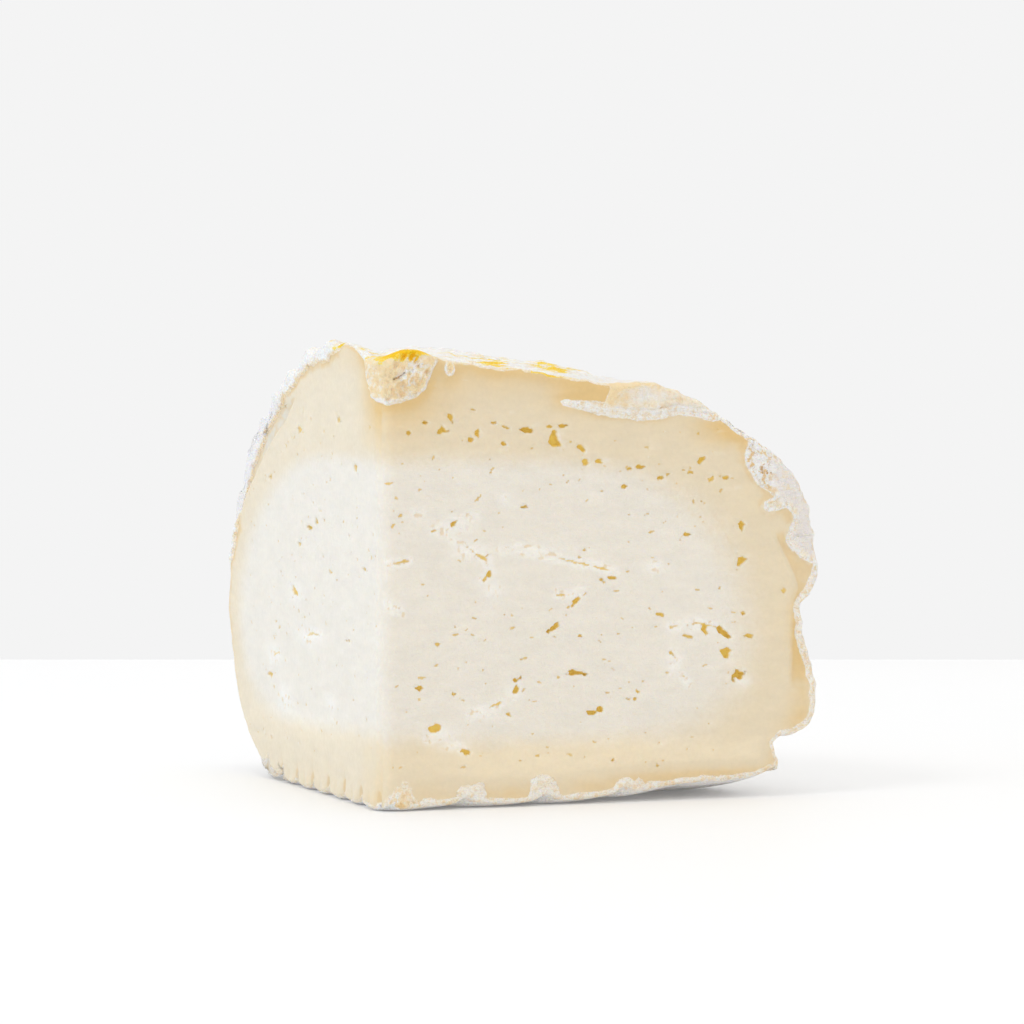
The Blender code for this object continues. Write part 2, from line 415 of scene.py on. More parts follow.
# The edge of the chalky core on each face.
FRONT_CORE = [
    (-30, 77), (20, 77.6), (44, 76.8), (58, 75.2), (67, 72), (75, 66.4), (81, 59.4), (85.4, 51), (87.6, 42),
    (87.6, 33), (84.6, 25), (78, 19), (68, 15.8), (50, 15), (28, 15.2), (8, 16.8), (-30, 17.4),
]
SIDE_CORE = [
    (-30, 77), (12, 78), (40, 78), (58, 76), (74, 71), (88, 63.6), (97.6, 55), (102.6, 46), (103.4, 36),
    (99, 26), (90, 19), (74, 15.6), (46, 15.4), (12, 17), (-30, 17.4),
]

# Where the soft layer under the rind stepped back behind the knife: (height, x) knots.
FRONT_STEP = [
    (24, 99), (27, 99.3), (34, 99.5), (40, 99.8), (45, 100), (47.5, 100.9), (51, 99.8), (55.4, 97.6), (61, 94.6),
]
SIDE_STEP = [(52, 110), (58, 107), (62, 103.4), (68, 97), (72.6, 90), (77, 84), (82, 75), (86, 66.4), (91, 60)]

# Ripples that the knife pushed up in the front face.
FRONT_RIPPLE = [(60, 73.6), (66, 72.4), (72, 69.9), (77, 66), (81, 61.4), (83.6, 56)]

# Rind that shows on the front face, apart from its rim: the corner rolled back towards
# the viewer with a hooked fold in its edge, the fold below the top, and the knot. The
# loop, the crumb at the foot and the crumbly spot are x, z, half width, half height.
ROLLED_RIND = [
    (89.4, 84), (88, 79.4), (87.9, 77), (88.7, 74.8), (91, 71.4), (94, 69.9), (95.2, 68.7), (92.9, 67.7),
    (92.3, 66.1), (93.5, 65), (96, 65.6), (98.2, 66.1), (99.7, 65.2), (100.2, 63.4), (98.7, 61), (98.3, 58.6),
    (99.7, 56.3), (102, 54.7), (104.6, 53.4), (107, 52.4), (116, 60), (112, 84), (96, 92),
]
FOLD_FOOT = [
    (43, 89.8), (47, 88.7), (52, 87.5), (57, 86.9), (62, 86.2), (66, 86.4), (71, 87.5), (76, 86.8), (83, 86.2),
]
RIND_FOLD = [
    (42.4, 90.6), (43.2, 91.3), (48, 91), (53.4, 90.6), (54.6, 92.4), (55.6, 97.4), (70, 97), (80, 90.6), (83, 86.4),
    (79.6, 86), (76, 86.8), (71, 87.5), (66.4, 86.4), (62, 86.2), (57, 86.9), (51.6, 87.7), (47, 88.7), (43.4, 89.8),
]
KNOT = [
    (-6, 97), (-3, 94.4), (-1.6, 91.4), (1, 90), (5, 90.6), (8.6, 91.8), (10.8, 93.6), (12.2, 97), (13.6, 99.8),
    (12, 104), (-6, 104),
]
KNOT_CRACK = [(2.4, 95.7), (3.8, 96.2), (5.2, 97.3)]
KNOT_ROUND_THE_APEX = [(-9, 104), (7.5, 102), (8, 98.5), (6.6, 95.6), (4.6, 93.6), (3, 91.2), (-1, 90), (-9, 90)]
SMALL_LOOP = (16.4, 98.3, 1.3, 2.0)
BASE_CRUMB = (4.6, 2.6, 4.0, 4.2)
CRUMBLY_SPOT = (91.2, 75.4, 4.2, 6.5)

# Where moisture and fat gathered under the rind: x, z, half width, half height, amount. A negative amount makes the
# paste paler; the wide bands along the foot are painted light bounced up from the floor.
FRONT_AMBER_AND_BOUNCE_LIGHT = [
    (28, 98, 18, 4.5, 0.75), (51, 93, 10, 3.6, 1.1), (84, 83.4, 9, 3.6, 1.25), (6, 89, 10, 9, 0.85),
    (30, 92, 30, 6, 0.25), (31, 3.4, 6, 2.4, 0.6), (51, 4.4, 8, 2.6, 0.6), (84, 5.2, 15, 2.4, 0.9),
    (101.5, 33, 2.4, 15, 0.95), (66, 5.4, 9, 2.6, 0.6), (101, 18, 5, 4, 0.4), (98.6, 57, 2.6, 6, 0.05),
    (95.4, 9, 2, 5, 0.5), (102, 50, 3, 5, -0.2), (12, 4, 6, 3, 0.3), (55, 10, 60, 6, -0.3),
]
# The side face's first band is painted light bounced up from the floor.
SIDE_AMBER_AND_BOUNCE_LIGHT = [(50, 15, 60, 5, -0.2), (0, 93, 13, 12, 1.6), (20, 99.5, 14, 3, 0.3), (3, 6, 7, 6, 0.35)]

# Bright mould on the top: along each cut edge, as place, reach and amount, and out on
# the rind, as x, y, reach in x, reach in y and amount.
TOP_MOULD = [(11, 2.5, 0.7), (18, 4, 0.6), (28.4, 2.2, 0.95), (34, 3, 0.4), (41, 3.2, 1.05), (48, 3, 0.6)]
SIDE_TOP_MOULD = [(9, 3, 0.7), (17, 3, 0.8), (27, 6, 1.0)]
RIND_MOULD = [
    (3, 2, 6, 5, 1.6), (28, 6, 4, 6, 1.05), (43, 7, 5, 6, 1.15), (19, 7, 6, 5, 0.6), (35, 14, 5, 6, 0.7),
    (3, 14, 5, 5, 1.0), (6, 28, 6, 7, 1.0), (51, 14, 5, 6, 0.8), (60, 34, 9, 7, 0.5), (34, 56, 8, 9, 0.6),
]


# How many points at each end of a rim lie on the axis or close to it, and how far
# relief may stand out from a cut face.
AXIS_POINTS = 3
MOST_RELIEF = 1.6


def patch(x, z, middle_x, middle_z, half_width, half_height):
    """A bell over an ellipse: e to the minus the square of off_middle."""
    return np.exp(-(((x - middle_x) / half_width) ** 2) - ((z - middle_z) / half_height) ** 2)


def spots(x, z, table):
    """The sum of the table's bells, each times its amount."""
    return sum(amount * patch(x, z, *ellipse) for *ellipse, amount in table)


def off_middle(x, z, ellipse):
    """Distance from the ellipse's middle, as a share of its half width and height."""
    return np.hypot((x - ellipse[0]) / ellipse[2], (z - ellipse[1]) / ellipse[3])


def slanted(x, z):
    """The place along and across the knot's strands, which are turned by 55 degrees."""
    return 0.57 * x + 0.82 * z, 0.57 * z - 0.82 * x


def small_holes(seed, outer, count):
    """Seeded little holes, most of them wider than high, all over a face."""
    random = np.random.default_rng(seed)
    x, z = random.uniform(2, outer, count), random.uniform(9, 89, count)
    height = random.uniform(0.10, 0.25, count)
    width = height * random.uniform(1.3, 3.2, count)
    turn = random.normal(8, 24, count)
    return np.stack([x, z, width, height, turn, height * 1.6], axis=1)


def sink_holes(x, z, holes, depth, colour, torn, warp):
    """Sinks each hole, its rim bent by the warp and torn pale, and marks its inside.

    With q the distance from the hole's middle in units of its ellipse, bent by waves of
    three and five turns round it, the floor falls with the ease of (1.25 - q) / 0.55.
    """
    for middle_x, middle_z, half_width, half_height, turn, sunk in holes:
        reach = 2.2 * max(half_width, half_height)
        near = (np.abs(x - middle_x) < reach) & (np.abs(z - middle_z) < reach)
        dx, dz = x[near] - middle_x, z[near] - middle_z
        c, s = cos(radians(turn)), sin(radians(turn))
        across, along = (dx * c + dz * s) / (0.95 * half_width), (dz * c - dx * s) / (0.85 * half_height)
        around = np.arctan2(along, across)
        bent = np.sin(3 * around + 1.7 * middle_x) + 0.8 * np.sin(5 * around + 4.1 * middle_z)
        q = np.hypot(across, along) * (1 + 0.95 * warp[near]) * (1 + 0.11 * bent)
        inside = ease(1.25 - q, 0, 0.55)
        dragged = (0.35 + 1.2 * warp[near]) * ease(across, -0.4, 1.6)
        torn[near] = np.maximum(torn[near], dragged * hill(q, 1.6, 0.35))
        depth[near] = np.maximum(depth[near], sunk * inside)
        colour[near] = np.maximum(colour[near], inside * min(1.0, 0.25 + 0.6 * sunk))


def face_fields(x, z, flat, holes, cracks, tears, seed, outer, sizes):
    """Depth, hole colour and torn whiteness that the knife and the curd give a face."""
    warp = layered_noise(flat, 1.1, seed, 2)
    depth, colour, torn = np.zeros_like(x), np.zeros_like(x), np.zeros_like(x)
    sink_holes(x, z, [*small_holes(seed + 5, outer, sizes.small_holes), *holes], depth, colour, torn, warp)
    depth *= sizes.hole_depth
    for tear in tears:
        torn = np.maximum(torn, patch(x, z, *tear))
    ragged = layered_noise(flat, 1.1, seed + 9, 2)
    broken = layered_noise(flat, 3.2, seed + 11, 2)
    for path, half_width, sunk in cracks:
        low, high = np.min(path, axis=0) - 3, np.max(path, axis=0) + 3
        near = (x > low[0]) & (x < high[0]) & (z > low[1]) & (z < high[1])
        gap = line_distance(x[near] + 0.5 * ragged[near], z[near] + 0.5 * warp[near], path)
        width = half_width * (0.35 + 2.2 * broken[near])
        cut = ease(1.4 * width - gap, 0, 1.1 * half_width)
        depth[near] = np.maximum(depth[near], 0.6 * sunk * cut)
        colour[near] = np.maximum(colour[near], 0.55 * cut)
        torn[near] = np.maximum(torn[near], 0.9 * hill(gap, 0.6, 0.7))
    curd = layered_noise(flat * (0.5, 1, 1), 2.4, seed + 13, 3)
    depth -= 0.06 * curd + torn * 0.55 * layered_noise(flat, 1.0, seed + 17, 3)
    drag = value_noise(flat * (0.1, 1, 1), 1.6, seed + 23)
    depth += 0.03 * drag
    return depth, colour, torn


def face_sheet(bottom, outer, top):
    """A grid between four edges: the mean of the two straight blends, less the corners'.

    The outer edge's bulge beyond the straight line between its ends fades with the cube
    of the distance across, so that only the grid near the rim follows its notch.
    """
    u = np.linspace(0, 1, len(bottom))[None, :, None]
    v = np.linspace(0, 1, len(outer))[:, None, None]
    axis = bottom[0] * (1 - v) + top[0] * v
    chord = bottom[-1] * (1 - v) + top[-1] * v
    bulge = outer[:, None, :] - chord
    between = bottom[None] * (1 - v) + top[None] * v
    straight = axis * (1 - u) + chord * u
    corners = (1 - u) * axis + u * chord
    return between + straight - corners + u**3 * bulge


def face_grid(row, level, across):
    """A face's grid as level place, height and flat place, with its distance to the rim.

    After them come the nearest point of the rim and how far that stands back. The points
    of the rim that lie on the axis don't count.
    """
    edge = row[:, [level, 2]]
    base, side = Grid.base, Grid.base + Grid.side
    x, z = np.moveaxis(face_sheet(edge[: base + 1], edge[base : side + 1], edge[side:][::-1]), 2, 0)
    counted = slice(AXIS_POINTS, -AXIS_POINTS)
    gap, place = outline_distance(x, z, edge[counted])
    flat = np.stack([x, z, np.zeros_like(x)], axis=-1)
    return x, z, flat, gap, edge[counted][place], row[counted, across][place]


def rim_profile(distance, setback, width):
    """A quarter ellipse: setback at the very edge, nothing from width inwards."""
    t = np.clip(distance / width, 0, 1)
    return setback * (1 - np.sqrt(np.clip(1 - (1 - t) ** 2, 0, 1)))


def step_back(x, z, knots, amount):
    """Drop behind the step line: amount past it, with a thin raised lip before it."""
    heights, places = np.array(knots).T
    line = np.interp(z, heights, places)
    fade = ease(z, heights[0], heights[0] + 5) * ease(heights[-1] + 1 - z, 0, 4)
    past = x - line
    return fade * (amount * ease(past, -0.3, 1.3) - 0.16 * hill(past, -0.7, 0.7)), fade * ease(past, 0, 0.8)


def crust_thickness(along, height, folds):
    """Thickness of the rind cut across at the rim, more where a wire folded it in.

    A fold's profile is 1 - |distance / half width|^2.2.
    """
    under = 1 - ease(height, 5, 9)
    thickness = 1.25 + 0.2 * under * ease(along, 4, 12) - 0.6 * ease(height, 84, 90)
    thickness += 0.8 * ease(along, 90, 98) * ease(height, 12, 17) * (1 - ease(height, 50, 56))
    for middle, half_width, extra in folds:
        rise = 1 - np.abs((along - middle) / (1.15 * half_width)) ** 2.2
        thickness = np.maximum(thickness, under * (1.35 + extra * np.clip(rise, 0, 1)))
    return thickness


def front_face(rind, sizes):
    """The front cut face, which carries the knot, the fold and the rolled corner."""
    x, z, flat, gap, near, setback = face_grid(rind[0], 0, 1)
    width = 1.1 + 1.55 * np.maximum(setback - sizes.rim_rounding / MM, 0)
    depth, hole, torn = face_fields(x, z, flat, FRONT_HOLES, FRONT_CRACKS, FRONT_TEARS, 100, 86, sizes)
    crumble = layered_noise(flat, 1.5, 140, 3)
    waver = layered_noise(flat, 3.0, 150, 3)
    wx, wz = x + 0.4 * waver, z + 0.35 * crumble
    rim = crust_thickness(near[..., 0], near[..., 1], FRONT_FOLDS) - gap
    rim += (0.45 * crumble + 0.2 * waver) * ease(x, 0, 6)
    rim *= ease(x, 0, 5) * 0.6 + 0.4
    rolled = area_distance(wx, wz, ROLLED_RIND)
    fold = area_distance(wx + 1.6 * waver, wz, RIND_FOLD)
    knot = area_distance(wx, wz, KNOT)
    loop = 1.2 - 1.2 * off_middle(wx, wz, SMALL_LOOP)
    crumb = 1.4 - 1.6 * off_middle(wx, wz, BASE_CRUMB) + 0.9 * crumble
    crust = np.maximum.reduce([rim, rolled, fold, knot, loop, crumb])
    quiet = ease(-crust, -0.2, 0.8)
    depth *= quiet
    hole *= quiet
    step, past = step_back(x, z, FRONT_STEP, 0.5)
    depth += step
    ripple = line_distance(x, z, FRONT_RIPPLE)
    depth += 0.11 * hill(ripple, 1.6, 1.3) - 0.1 * hill(ripple, 0, 1.1)
    rough = ease(crust, 0.0, 0.7)
    pebbly = layered_noise(flat, 0.9, 190, 2)
    depth -= rough * (0.2 + 0.3 * crumble + 0.16 * waver + 0.14 * pebbly)
    above = z - np.interp(x, *np.transpose(FOLD_FOOT))
    relief, stain, strands = rind_relief(x, z, knot, fold, rolled, loop, above, waver, flat)
    depth += relief
    inward = rim_profile(gap, setback, width)
    depth = np.maximum(depth, -MOST_RELIEF) * ease(gap, 0.0, 0.9)
    amber = spots(x, z, FRONT_AMBER_AND_BOUNCE_LIGHT) + 0.12 * past
    core = area_distance(x + 0.6 * waver, z + 0.5 * waver, FRONT_CORE)
    core *= 1 - 0.55 * ease(x, 50, 80)
    core += 1.5 * hill(x, 0, 5) * (1 - ease(z, 60, 76))
    tone = 1.8 * ease(knot, 0.7, 1.9) + 0.2 * ease(knot, 0, 0.4) + 0.5 * ease(crumb, 0, 0.6)
    tone += 1.2 * ease(loop, 0.3, 0.7)
    plain = 1 - 0.8 * patch(x, z, 64, 92, 5, 1.5)
    on_fold = ease(fold, -0.3, 0.5)
    tone += on_fold * (0.12 + 0.42 * ease(above, 2.2, 3.2) * plain + 0.8 * patch(x, z, 55, 93.6, 3.6, 3.5))
    beaded = 0.45 * hill(rolled, 1.3, 0.6) * ease(crumble, -0.2, 0.4)
    tone += 0.14 * ease(rolled, 0.5, 1.5) * ease(x, 93, 98) + beaded + 0.3 * (1 - ease(z, 6, 14))
    crumbly = patch(x, z, *CRUMBLY_SPOT) * ease(rolled, 0, 0.5)
    low = hill(x, 84, 16) * (1 - ease(z, 4, 7))
    torn_open = patch(*slanted(x, z), 84.0, 50.0, 5.4, 3.0) * ease(knot, 0.3, 1.2)
    tone *= 1 - 0.95 * torn_open * ease(strands, -0.02, 0.14)
    golden_gaps = 1.1 * torn_open * ease(-strands, -0.06, 0.12) * ease(z, 96, 98)
    fleck = ease(knot, 0.3, 1.2) * (0.08 + 1.05 * torn_open) + 1.3 * crumbly
    fleck += 0.5 * hill(rolled, 0.7, 0.8)
    fleck += 0.45 * on_fold * ease(4.5 - above, 0, 2)
    fleck += 0.6 * ease(crumb, 0, 0.5) + 0.55 * ease(crust, 0, 0.3) * ease(2.2 - gap, 0, 0.8) * (1 - ease(z, 86, 90))
    # Grey on the rind: painted shade on the rolled corner, which faces away from the light, and at the lifted foot,
    # plus a grey patch on the fold.
    dust_and_shade = ease(rolled, 1.0, 2.2) * (1 - crumbly) + 0.45 * on_fold * patch(x, z, 62.5, 93.4, 5, 1.8) + 0.5 * low
    tone += 0.3 * ease(x, 90, 97) * (1 - ease(z, 44, 54)) + 0.45 * ease(z, 92, 95) * (1 - ease(gap, 0.6, 1.6))
    mould = 1.6 * patch(x, z, 4.6, 102.2, 6.4, 3.1) * ease(crust, 0, 0.4) + golden_gaps
    for along, reach, amount in TOP_MOULD:
        mould += amount * hill(x, along, reach) * (1 - ease(gap, 0.4, 1.4)) * ease(z, 80, 86)
    places = np.stack([x, depth + inward, z], axis=-1)
    fields = dict(core=core, crust=crust, hole=hole, torn=torn * quiet, amber=amber, tone=tone)
    # The field of how far a place lies below its neighbourhood is for painted shade in the material.
    return places, dict(fields, stain=stain, mould=mould, hollow=hollows(depth), fleck=fleck, dust_and_shade=dust_and_shade)


def rind_relief(x, z, knot, fold, rolled, loop, above, waver, flat):
    """Relief and brown stains of the knot, the fold and the rolled corner.

    The knot has a raised rim and a crumpled middle with a crack and slanting strands, the
    fold lies in thin flakes over a torn seam, and the corner has beads and a crumbly spot.
    """
    crumpled = 0.4 - np.abs(layered_noise(flat, 2.0, 160, 3))
    along, across = slanted(x, z)
    strands = 0.3 - np.abs(layered_noise(np.stack([0.3 * along, across, 0 * x], axis=-1), 1.5, 165, 2))
    beads = layered_noise(flat, 1.1, 170, 2)
    knotted = ease(knot, 0.0, 1.2)
    relief = -knotted * (0.4 + 2.2 * crumpled + 0.3 * beads + 2.6 * strands * patch(x, z, 7, 98.5, 5, 4.5))
    relief -= 0.3 * hill(knot, 0.6, 0.6) + 0.3 * hill(loop, 0.3, 0.3)
    crack = ease(0.34 - line_distance(x + 0.5 * beads, z + 0.6 * waver, KNOT_CRACK), 0, 0.3)
    relief += 0.8 * crack
    layers = layered_noise(flat * (0.22, 1, 1.15), 1.5, 180, 3)
    folded = ease(fold, 0, 0.7)
    relief -= folded * (0.15 + 0.55 * layers)
    near_edge = hill(rolled, 0.6, 0.8) + 1.1 * patch(x, z, *CRUMBLY_SPOT) * ease(rolled, 0, 0.5)
    relief -= (0.25 + 0.7 * beads + 0.5 * crumpled) * near_edge
    spot = patch(x, z, 93.6, 75.0, 2.4, 2.0)
    stain = 0.9 * crack + 2.0 * spot * ease(beads, -0.1, 0.4) + 0.6 * patch(x, z, 95.4, 67.6, 2.2, 0.7)
    seam = (hill(above, 2.5, 0.3) + 0.7 * hill(above, 1.3, 0.25)) * ease(x, 50, 60)
    stain += 0.8 * folded * seam * ease(beads, 0.0, 0.4) + 0.3 * folded * ease(-layers, 0.35, 0.6)
    relief += 0.35 * folded * seam
    stain += 0.35 * knotted * ease(-crumpled, -0.05, 0.2) + 0.5 * ease(loop, 0.5, 1.0)
    return relief, stain, strands


def side_face(rind, sizes):
    """The side cut face, with fine grooves dragged up from the rack marks at its foot."""
    y, z, flat, gap, near, setback = face_grid(rind[-1], 1, 0)
    depth, hole, torn = face_fields(y, z, flat, SIDE_HOLES, SIDE_CRACKS, SIDE_TEARS, 300, 96, sizes)
    crumble = layered_noise(flat, 1.5, 340, 3)
    waver = layered_noise(flat, 3.0, 350, 3)
    upper = ease(near[..., 1], 48, 58) * ease(near[..., 0], 22, 34)
    slow = layered_noise(flat, 14, 370, 2)
    teeth = 0.5 + 0.5 * lump_wave(near[..., 0], near[..., 1])
    rim = 0.45 * crust_thickness(near[..., 0], near[..., 1], SIDE_FOLDS) - gap
    rim += upper * (2.2 + (2.9 + slow) * teeth + 0.45 * crumble)
    rim += 1.7 * hill(near[..., 0], 7, 8) * ease(near[..., 1], 84, 92)
    knot = area_distance(y + 0.4 * waver, z + 0.35 * crumble, KNOT_ROUND_THE_APEX)
    crust = np.maximum(rim * (ease(y, 0, 5) * 0.6 + 0.4), knot)
    quiet = ease(-crust, -0.2, 0.8)
    depth *= quiet
    step, past = step_back(y, z, SIDE_STEP, 1.3)
    depth += step
    wire = rack_gap(np.zeros_like(y), y + 0.3 * waver)
    drawn = hill(wire, 0, 0.8) - 0.4 * hill(wire, 2.6, 1.6)
    reach = 0.3 * ease(10 + 4 * slow - z, 0, 9) + (1.3 + 0.5 * slow) * ease(5 + 2 * slow - z, 0, 4)
    depth += drawn * reach * ease(88 - y, 0, 20)
    depth -= ease(crust, 0, 0.8) * (0.25 + 0.5 * upper + 0.3 * crumble)
    crumpled = 0.4 - np.abs(layered_noise(flat, 2.6, 360, 3))
    depth -= ease(knot, 0, 1.2) * (0.4 + 1.2 * crumpled) + 0.5 * hill(knot, 0.6, 0.5)
    depth = np.maximum(depth, -MOST_RELIEF) * ease(gap, 0, 0.9)
    amber = spots(y, z, SIDE_AMBER_AND_BOUNCE_LIGHT) + 0.6 * hill(crust, -0.25, 0.35) * ease(near[..., 1], 6, 40)
    core = area_distance(y + 0.6 * waver, z + 0.5 * waver, SIDE_CORE)
    core = np.maximum(core * (1 - 0.5 * ease(y, 50, 90)), -8 + 6.2 * ease(y, 0, 14))
    tone = 1.0 * ease(knot, 0.7, 1.3) + 0.4 * (1 - ease(z, 6, 14)) + 0.9 * upper * hill(crust, 0.3, 0.35)
    fleck = 0.1 * ease(knot, 0.3, 1.0) + 0.35 * ease(crust, 0, 0.4) * (1 - upper)
    mould = np.zeros_like(y)
    for along, reach, amount in SIDE_TOP_MOULD:
        mould += amount * hill(y, along, reach) * (1 - ease(gap, 0.8, 2.2)) * ease(z, 90, 94)
    mould += 1.2 * patch(y, z, 1, 101.5, 4, 2.6) * ease(crust, 0, 0.4)
    places = np.stack([depth + rim_profile(gap, setback, 1.1), y, z], axis=-1)
    stain = 0.3 * ease(knot, 0, 1) * ease(-crumpled, -0.1, 0.15)
    fields = dict(core=core, crust=crust, hole=0.7 * hole * quiet, torn=torn * quiet, amber=amber, tone=tone)
    # Painted shade: the paste behind the step, in the recess under the rind's lumps, turns grey.
    return places, dict(fields, stain=stain, mould=mould, hollow=hollows(depth), fleck=fleck, dust_and_shade=0.9 * past)


# ------------------------------------------------------------------------- one skin

# Distance into the rind that the crust field gives all over it, and beside its rims.
FULL_CRUST = 6.0
CRUST_BESIDE_RIM = 2.0


def round_apex(points, r):
    """Moves points near the axis on to a softly rounded upright edge.

    Each face's strip of width r, the rounding, maps on to an eighth of a circle of that
    radius, and between the faces the two moves fade into each other.
    """
    x, y = np.maximum(points[:, :2], 0).T

    def move(along):
        t = np.clip(along / r, 0, 1)
        turn = radians(225) + radians(45) * t
        return r + r * np.cos(turn) - t * r, r + r * np.sin(turn)

    def fade(across):
        return np.clip(1 - across / (2.5 * r), 0, 1) ** 2

    near_front, near_side = fade(y), fade(x)
    moves = zip(move(x), move(y)[::-1], move(np.zeros(1)))
    for axis, (front, side, corner) in enumerate(moves):
        points[:, axis] += front * near_front + side * near_side - corner * near_front * near_side
    return points


def grid_faces(index):
    """The quads of a grid of point numbers."""
    return np.stack([index[:-1, :-1], index[1:, :-1], index[1:, 1:], index[:-1, 1:]], axis=-1).reshape(-1, 4)


def point_numbers(*sheets):
    """Each sheet's own grid of point numbers, counted on from the sheet before."""
    start = 0
    for sheet in sheets:
        yield start + np.arange(sheet[..., 0].size).reshape(sheet.shape[:2])
        start += sheet[..., 0].size


def skin(sizes):
    """All points, faces, sheet numbers and fields of the closed skin.

    The rind's first and last columns are the cut faces' rims. The two ends of its rows
    each shrink to one point on the axis, and the faces share the axis between them.
    """
    rind, hollow = rind_sheet(sizes)
    front, front_fields = front_face(rind, sizes)
    side, side_fields = side_face(rind, sizes)
    on_rind, on_front, on_side = point_numbers(rind, front, side)
    on_rind[:, 0], on_rind[:, -1] = on_rind[0, 0], on_rind[0, -1]
    base, side_end = Grid.base, Grid.base + Grid.side
    for index, rim in ((on_front, on_rind[0]), (on_side, on_rind[-1])):
        index[0, :] = rim[: base + 1]
        index[:, -1] = rim[base : side_end + 1]
        index[-1, :] = rim[side_end:][::-1]
    on_side[:, 0] = on_front[:, 0]
    points = np.concatenate([sheet.reshape(-1, 3) for sheet in (rind, front, side)])
    quads = [grid_faces(on_rind), grid_faces(on_front)[:, ::-1], grid_faces(on_side)]
    rind_chart = np.tile(np.repeat([3, 0, 4], [base, Grid.side, base]), len(rind) - 1)
    sheet_of = np.concatenate([rind_chart, np.full(len(quads[1]), 1), np.full(len(quads[2]), 2)])
    fields = skin_fields(rind, front_fields, side_fields, hollow)
    run = np.cumsum(np.linalg.norm(np.diff(rind, axis=1, prepend=rind[:, :1]), axis=2), axis=1)
    fields["along"] = np.concatenate([run.ravel(), np.zeros(front[..., 0].size + side[..., 0].size)])
    return points, np.concatenate(quads), sheet_of, fields


def rim_values(face):
    """A face's values along its rim, in the order of the rind's own points."""
    return np.concatenate([face[0, :-1], face[:-1, -1], face[-1, ::-1]])


def skin_fields(rind, front_fields, side_fields, hollow):
    """The fields of the faces, carried on over the rind as nothing but full crust."""
    x, y, z = np.moveaxis(rind, 2, 0)
    plain = np.zeros(x.shape)
    crust, fleck = plain + FULL_CRUST, plain.copy()
    for row, beside, face in ((0, 1, front_fields), (-1, -2, side_fields)):
        crust[row], fleck[row] = rim_values(face["crust"]), rim_values(face["fleck"])
        crust[beside] = np.maximum(crust[row], CRUST_BESIDE_RIM)
    rind_fields = dict(core=plain - 20, crust=crust, hole=plain, torn=plain, amber=plain)
    rind_fields["tone"] = 0.35 * ease(x, 55, 66) * hill(y, 0, 12) * ease(z, 80, 86)
    rind_fields["stain"] = plain
    rind_fields["mould"] = spots(x, y, RIND_MOULD) * ease(z, 88, 94)
    rind_fields["hollow"] = hollow
    # Grey painted shade on the rind under the lifted foot.
    rind_fields["dust_and_shade"] = 0.5 * hill(x, 84, 20) * (1 - ease(z, 4, 8)) * hill(y, 0, 12)
    rind_fields["fleck"] = fleck
    parts = (rind_fields, front_fields, side_fields)
    return {name: np.concatenate([part[name].ravel() for part in parts]) for name in rind_fields}


def build_mesh(name, sizes):
    """Makes the skin a mesh, and drops its unused and doubled points."""
    points, quads, sheet_of, fields = skin(sizes)
    used, quads = np.unique(quads, return_inverse=True)
    quads = quads.reshape(-1, 4)
    points = round_apex(points[used], sizes.apex_rounding / MM)
    degenerate = (quads == np.roll(quads, 1, axis=1)).any(axis=1)
    placed = points * MM + np.array(Vector(CAD_BOX[0]))
    faces = [list(dict.fromkeys(q)) for q in quads[degenerate].tolist()]
    keep = [face for face in faces if len(face) > 2]
    whole = quads[~degenerate]
    mesh = bpy.data.meshes.new(name)
    mesh.from_pydata(placed, [], [*whole.tolist(), *keep])
    kept_sheets = [s for s, face in zip(sheet_of[degenerate], faces) if len(face) > 2]
    mesh.polygons.foreach_set("material_index", np.concatenate([sheet_of[~degenerate], kept_sheets]).astype(np.int32))
    for field, values in fields.items():
        attribute = mesh.attributes.new(field, "FLOAT", "POINT")
        attribute.data.foreach_set("value", values[used].astype(np.float32))
    mesh.update()
    mesh.validate()
    return mesh


# Where each sheet lies on the bake's square, as scale across, scale up, start across and
# start up: the rind's side, the front face, the side face, the rind's base and its top.
# The side face and the base run the other way, so that no chart is mirrored.
CHARTS = [(0.75, 0.75, 3, 112), (1, 1, 3, 3), (-1, 1, 226, 3), (-0.38, 0.38, 174, 191), (0.75, 0.75, 138, 113)]
BAKE_SQUARE = 229
SIDE_START = 80
UNROLLED_RADIUS = 110


def lay_flat(mesh):
    """A UV map for baking: each sheet's own chart, side by side in one square.

    The front lies flat as (x, z), the side face as (y, z), and the rind's base and top as
    (x, y). The rind's side is unrolled as (angle * radius, distance along the section).
    """
    corner, sheet = np.empty(len(mesh.loops), np.int32), np.empty(len(mesh.polygons), np.int32)
    mesh.loops.foreach_get("vertex_index", corner)
    mesh.polygons.foreach_get("material_index", sheet)
    total = np.empty(len(mesh.polygons), np.int32)
    mesh.polygons.foreach_get("loop_total", total)
    sheet = np.repeat(sheet, total)
    places, along = np.empty(len(mesh.vertices) * 3, np.float32), np.empty(len(mesh.vertices), np.float32)
    mesh.vertices.foreach_get("co", places)
    mesh.attributes["along"].data.foreach_get("value", along)
    x, y, z = ((places.reshape(-1, 3) - np.array(CAD_BOX[0])) / MM)[corner].T
    unrolled = np.arctan2(np.maximum(y, 0), np.maximum(x, 0)) * UNROLLED_RADIUS
    across, up, left, low = np.array(CHARTS)[sheet].T
    u = left + across * np.choose(sheet, [unrolled, x, y, x, x])
    v = low + up * np.choose(sheet, [along[corner] - SIDE_START, z, z, y, y])
    uv = mesh.uv_layers.new(name="OFBake")
    uv.data.foreach_set("uv", (np.stack([u, v], axis=1) / BAKE_SQUARE).astype(np.float32).ravel())
    mesh.attributes.remove(mesh.attributes["along"])


